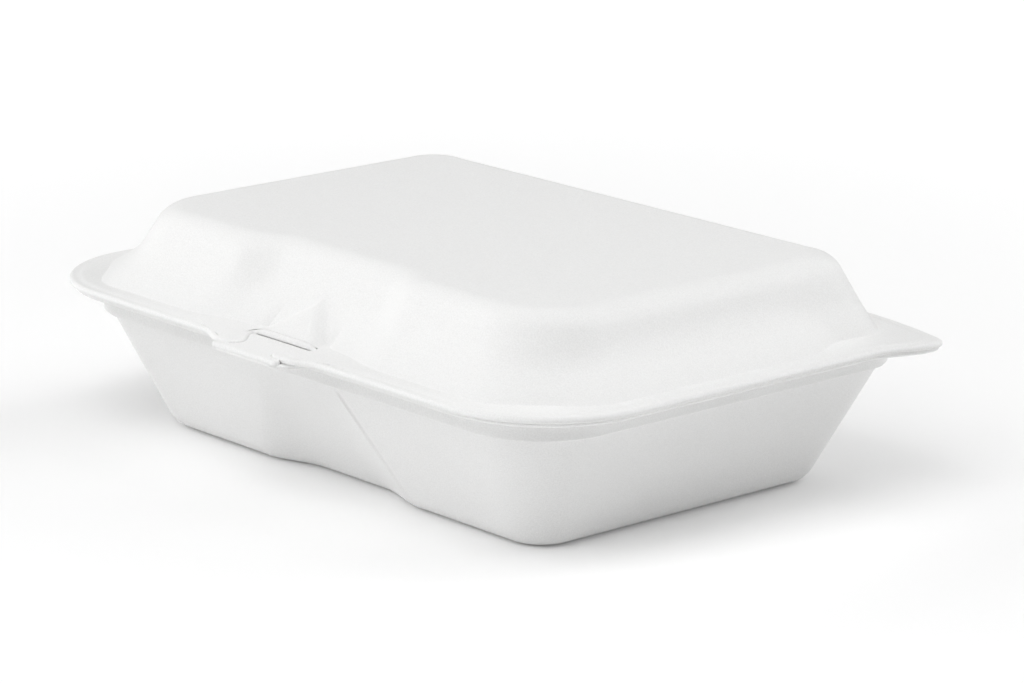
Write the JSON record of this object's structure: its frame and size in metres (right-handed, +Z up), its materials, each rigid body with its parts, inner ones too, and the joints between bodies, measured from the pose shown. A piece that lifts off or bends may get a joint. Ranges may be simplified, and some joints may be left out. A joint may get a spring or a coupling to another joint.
{
  "type": "foam clamshell food container",
  "caption": "White foam food box with a deep sloped base, a shallower domed lid folding along the back, flared corner ears and a tongue lock at the front.",
  "frame": {"origin": "middle of the flat bottom that the box stands on", "axes": "+X along the long side, +Y from the lock at the front to the fold at the back, +Z up"},
  "size_m": [0.236, 0.1598, 0.066],
  "materials": {
    "foam": "matt, fine-grained expanded foam"
  },
  "bodies": {
    "base": {"base_tray": "foam"},
    "lid": {"lid": "foam"}
  },
  "joints": [
    {"name": "lid_hinge", "type": "hinge", "parent": "base", "child": "lid", "pos_m": [0, 0.07343, 0.0435], "axis": [-1, 0, 0], "range_deg": [0, 180]}
  ]
}
